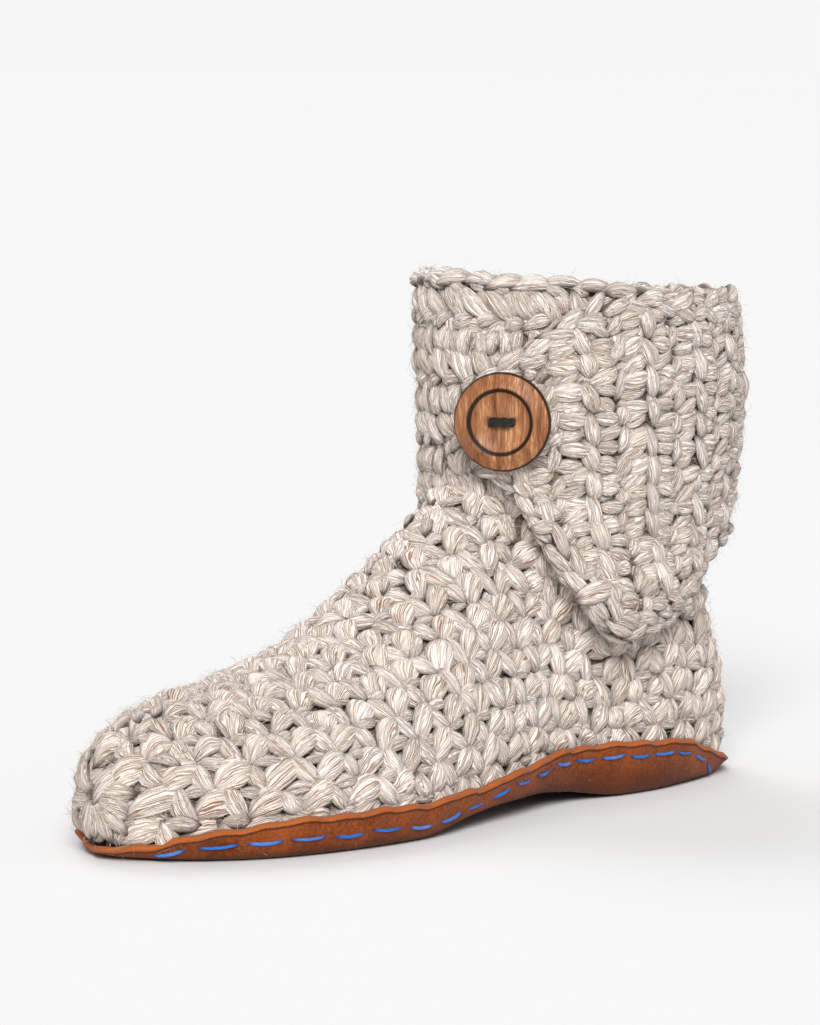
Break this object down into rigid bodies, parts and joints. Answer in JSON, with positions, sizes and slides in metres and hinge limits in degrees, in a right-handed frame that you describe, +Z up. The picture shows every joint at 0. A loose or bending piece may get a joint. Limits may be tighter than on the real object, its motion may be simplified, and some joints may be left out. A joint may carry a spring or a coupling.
{
  "type": "house slipper",
  "caption": "Crocheted wool ankle-boot house slipper for the left foot, with a soft suede sole sewn on round its edge and a side flap closed by a wooden button.",
  "frame": {"origin": "on the floor, under the middle of the boot's box", "axes": "+X across the foot to its outer side, +Y from toe to heel, +Z up from the floor"},
  "size_m": [0.1014, 0.2664, 0.1625],
  "materials": {
    "wool": "chunky crocheted wool, matt and hairy",
    "wool_pad": "felted wool",
    "suede": "rust-brown suede with a short nap",
    "button_wood": "turned, oiled, with a burnt ring",
    "black_thread": "waxed cotton"
  },
  "bodies": {
    "root": {"sole": "suede", "insole": "wool_pad", "upper": "wool", "cuff_flap": "wool", "button": "button_wood", "button_thread": "black_thread"}
  },
  "joints": []
}
